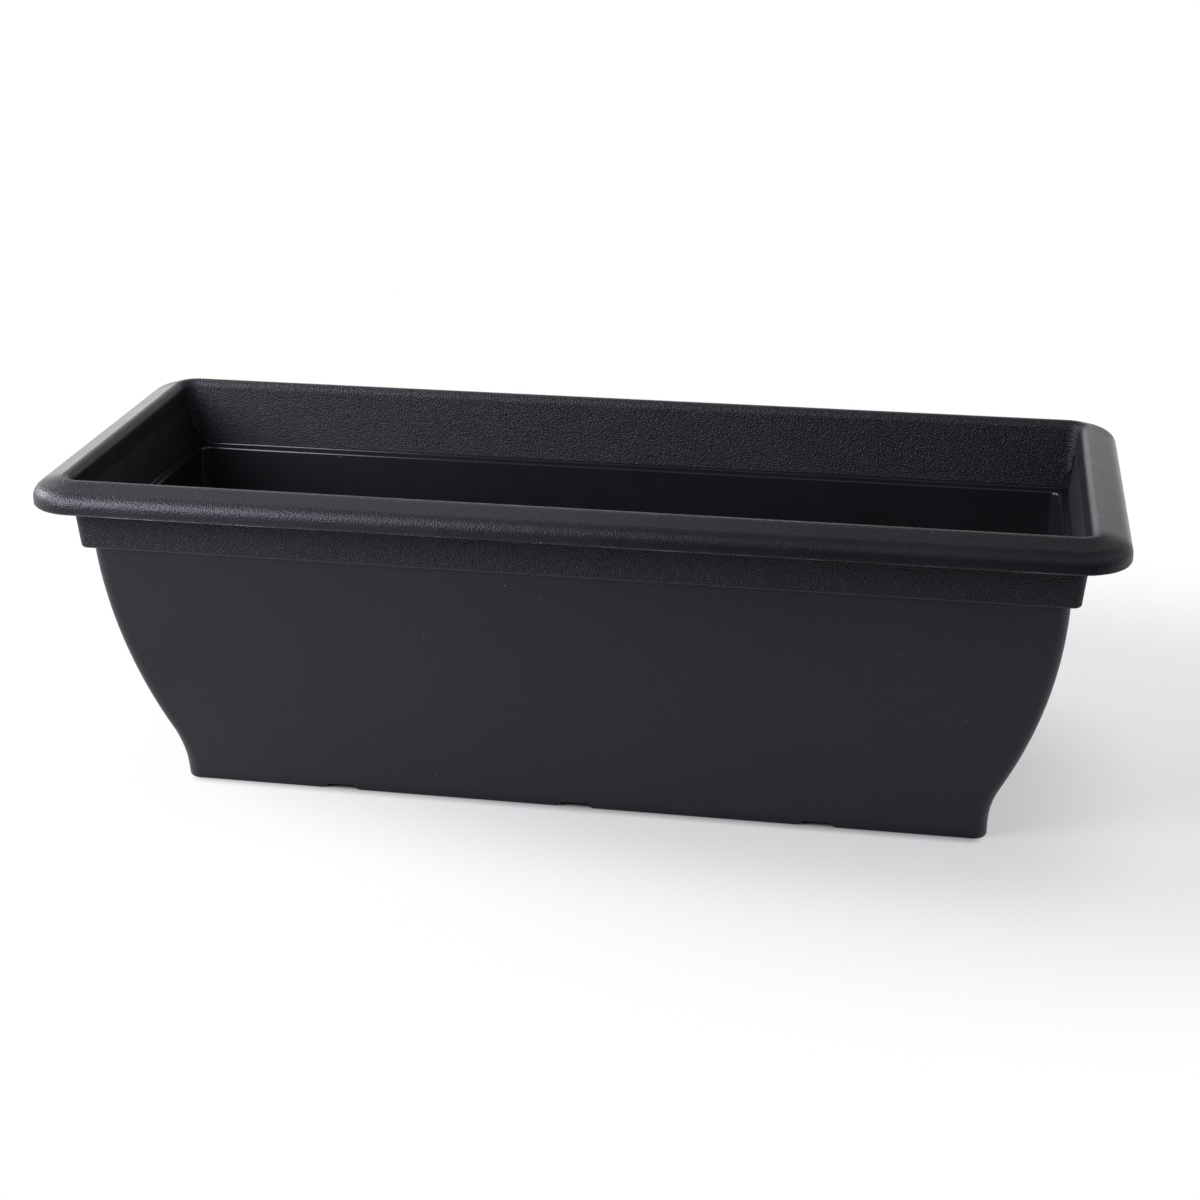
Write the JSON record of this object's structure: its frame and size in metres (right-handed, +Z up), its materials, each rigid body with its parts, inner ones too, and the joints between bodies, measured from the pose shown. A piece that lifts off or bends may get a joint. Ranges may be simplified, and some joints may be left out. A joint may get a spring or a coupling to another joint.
{
  "type": "trough planter",
  "caption": "Long plastic trough planter with a down-turned rim, collar band, drafted sides, ogee ends, a notched foot skirt and push-in drain plugs.",
  "frame": {"origin": "on the ground, under the middle of the trough", "axes": "+X along the trough, +Y from its front to its back, +Z up"},
  "size_m": [0.6, 0.235, 0.2],
  "materials": {
    "trough": "matt anthracite with a fine moulded grain",
    "plug": "matt black rubber"
  },
  "bodies": {
    "trough": {"trough_shell": "trough"},
    "plug_left": {"drain_plug_left": "plug"},
    "plug_middle": {"drain_plug_middle": "plug"},
    "plug_right": {"drain_plug_right": "plug"}
  },
  "joints": [
    {"name": "plug_left_pull", "type": "slide", "parent": "trough", "child": "plug_left", "axis": [0, 0, 1], "range_m": [0, 0.2]},
    {"name": "plug_middle_pull", "type": "slide", "parent": "trough", "child": "plug_middle", "axis": [0, 0, 1], "range_m": [0, 0.2]},
    {"name": "plug_right_pull", "type": "slide", "parent": "trough", "child": "plug_right", "axis": [0, 0, 1], "range_m": [0, 0.2]}
  ]
}
